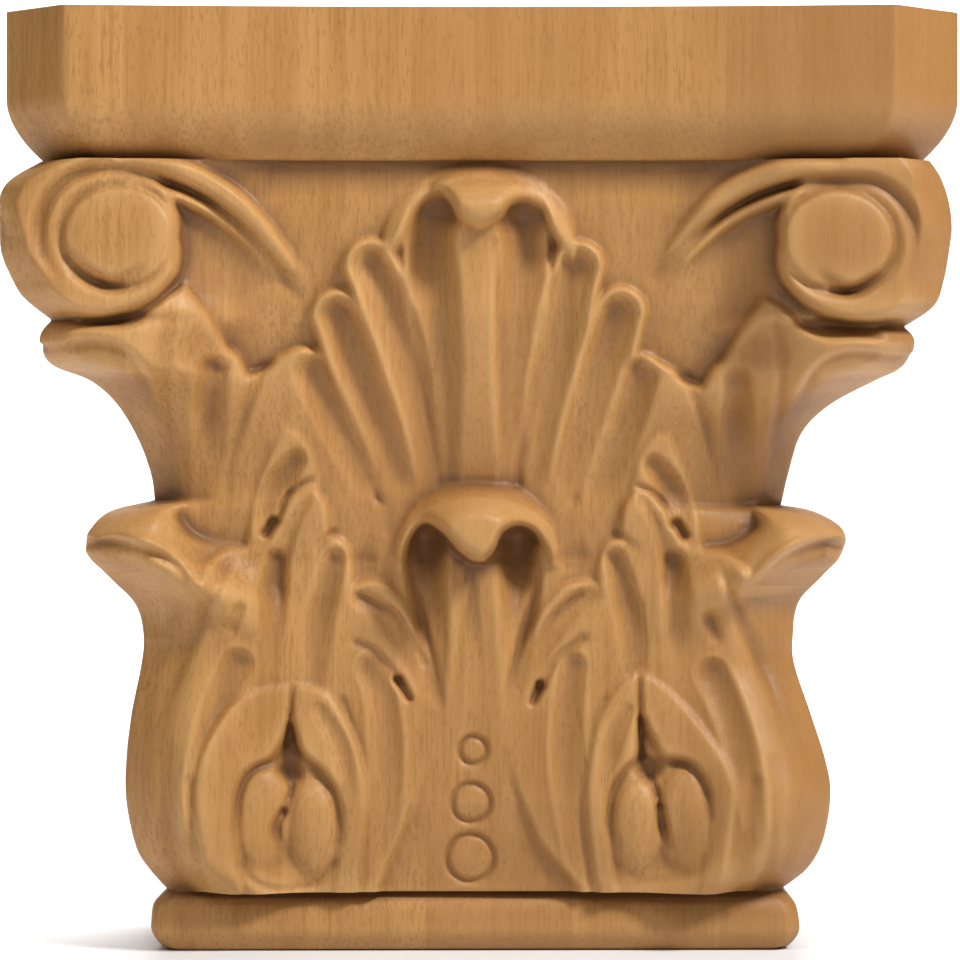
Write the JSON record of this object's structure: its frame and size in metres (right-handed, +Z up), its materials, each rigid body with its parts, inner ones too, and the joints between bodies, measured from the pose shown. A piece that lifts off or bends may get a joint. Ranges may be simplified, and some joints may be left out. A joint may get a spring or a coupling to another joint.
{
  "type": "corinthian capital",
  "caption": "Carved wooden pilaster capital with canted corners, corner volutes, a fan leaf over acanthus leaves, a concave abacus and a half-round bead at the base, flat at the back.",
  "frame": {"origin": "middle of the bounding box's underside: on the carving's upright centre line, halfway between the front and the back, at the underside", "axes": "+Z up, -Y out of the carved front, +Y into the wall, +X to the right as seen from the front"},
  "size_m": [0.231, 0.1016, 0.2286],
  "materials": {
    "wood": "sanded, unpainted, honey-tan, upright grain"
  },
  "bodies": {
    "root": {"capital": "wood"}
  },
  "joints": []
}
